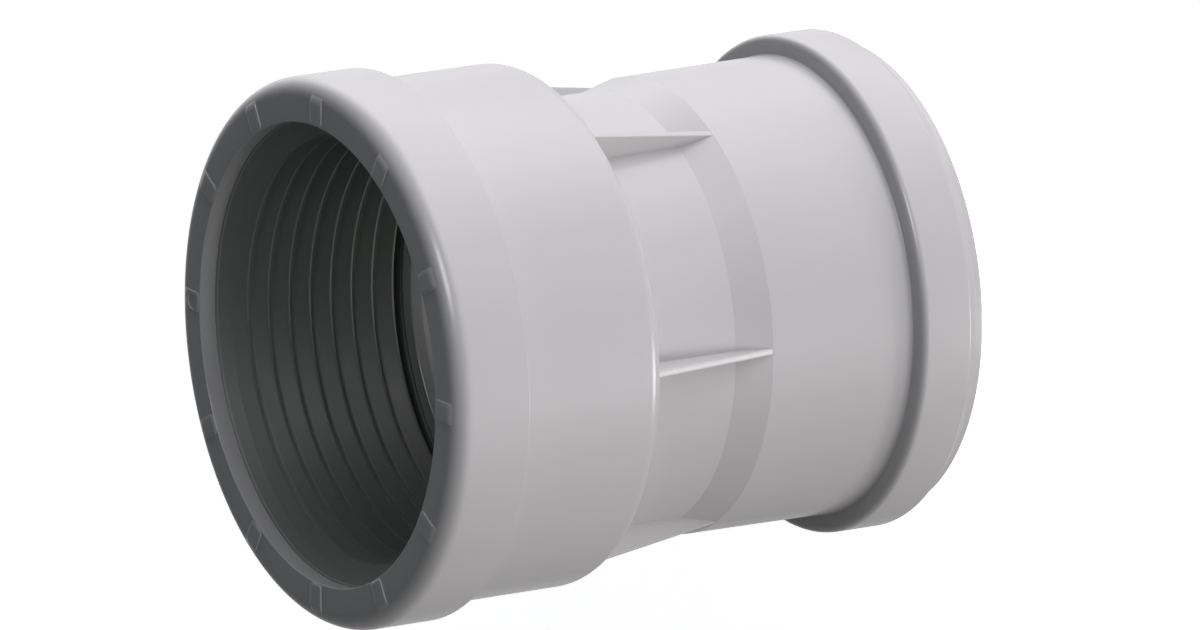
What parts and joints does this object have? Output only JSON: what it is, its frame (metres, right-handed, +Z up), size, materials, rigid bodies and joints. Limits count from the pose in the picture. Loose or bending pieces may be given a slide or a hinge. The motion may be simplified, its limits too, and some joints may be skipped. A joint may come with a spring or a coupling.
{
  "type": "plastic drain pipe coupling",
  "caption": "Straight push-fit coupling that joins a cast iron drain pipe to a plastic one, with a finned rubber sleeve, a clipped retaining ring and a ribbed neck.",
  "frame": {"origin": "on the pipe axis, in the plane of the plastic pipe socket's rim, which the coupling stands on", "axes": "+Z runs up the pipe axis towards the cast iron pipe's mouth; +X points through one of the neck's ribs"},
  "size_m": [0.1404, 0.1404, 0.1598],
  "materials": {
    "body_plastic": "smooth satin light grey polypropylene",
    "ring_plastic": "smooth satin light grey polypropylene",
    "seal_rubber": "matt black moulded rubber"
  },
  "bodies": {
    "root": {"coupling_body": "body_plastic", "retaining_ring": "ring_plastic", "iron_pipe_seal": "seal_rubber", "plastic_pipe_seal": "seal_rubber"}
  },
  "joints": []
}
